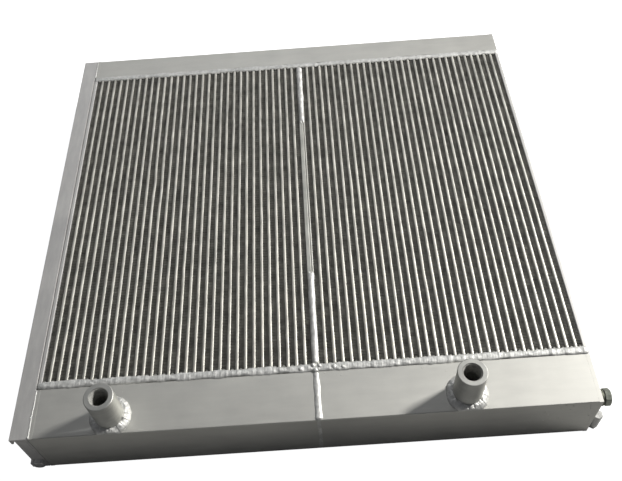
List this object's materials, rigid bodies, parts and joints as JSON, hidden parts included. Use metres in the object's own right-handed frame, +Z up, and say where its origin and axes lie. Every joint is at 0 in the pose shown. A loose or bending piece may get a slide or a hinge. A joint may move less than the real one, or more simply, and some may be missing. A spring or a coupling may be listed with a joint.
{
  "type": "hydraulic oil cooler",
  "caption": "Flat bar-and-plate hydraulic oil cooler: two-pass finned core between welded tanks, two port stubs up, a side mounting rail and an end vent plug.",
  "frame": {"origin": "middle of the whole cooler in X and Y, on the plane that it lies on", "axes": "+X across the oil passages towards the vent plug, +Y from the front tank to the rear tank, +Z up through the core along the air flow, the way the ports point"},
  "size_m": [0.8374, 0.8026, 0.163],
  "materials": {
    "parting_sheet": "dull",
    "oil_bar": "satin",
    "turbulator": "satin",
    "air_fin": "dull",
    "air_bar": "dull",
    "core_plate": "satin",
    "tank": "milled",
    "port": "turned",
    "weld": "as welded",
    "rail": "milled",
    "bolt": "zinc plated",
    "boss": "dull",
    "washer": "dull",
    "plug": "zinc plated",
    "standoff": "dull"
  },
  "bodies": {
    "cooler": {"air_bars_front_left": "air_bar", "air_bars_front_right": "air_bar", "air_bars_rear_left": "air_bar", "air_bars_rear_right": "air_bar", "air_fins_left": "air_fin", "air_fins_right": "air_fin", "centre_plate_left": "core_plate", "centre_plate_right": "core_plate", "corner_standoff": "standoff", "divider_welds": "weld", "front_cap_left": "tank", "front_cap_right": "tank", "front_tank_left": "tank", "front_tank_right": "tank", "front_weld_bottom": "weld", "front_weld_top": "weld", "mount_rail": "rail", "oil_bars_bottom_left": "oil_bar", "oil_bars_bottom_right": "oil_bar", "oil_bars_top_left": "oil_bar", "oil_bars_top_right": "oil_bar", "parting_sheets_left": "parting_sheet", "parting_sheets_right": "parting_sheet", "port_left": "port", "port_right": "port", "port_weld_left": "weld", "port_weld_right": "weld", "rail_cap_bolt": "bolt", "rail_cap_front": "rail", "rail_cap_rear": "rail", "rail_welds": "weld", "rear_cap_left": "tank", "rear_cap_right": "tank", "rear_tank": "tank", "rear_weld_bottom": "weld", "rear_weld_top": "weld", "side_plate_left": "core_plate", "side_plate_right": "core_plate", "standoff_weld": "weld", "tank_baffle": "tank", "tank_end_welds": "weld", "tank_seam_weld": "weld", "turbulators_left": "turbulator", "turbulators_right": "turbulator", "vent_boss": "boss"},
    "washer": {"vent_washer": "washer"},
    "plug": {"vent_plug": "plug"}
  },
  "joints": [
    {"name": "vent_washer_travel", "type": "slide", "parent": "cooler", "child": "washer", "axis": [1, 0, 0], "range_m": [0, 0.01205]},
    {"name": "vent_plug_turn", "type": "hinge", "parent": "washer", "child": "plug", "pos_m": [0.4077, -0.3817, 0.0856], "axis": [1, 0, 0], "range_deg": [0, 2880]}
  ],
  "couplings": [
    {"joint": "vent_washer_travel", "follows": "vent_plug_turn", "m_per_rad": 0.00023873}
  ]
}
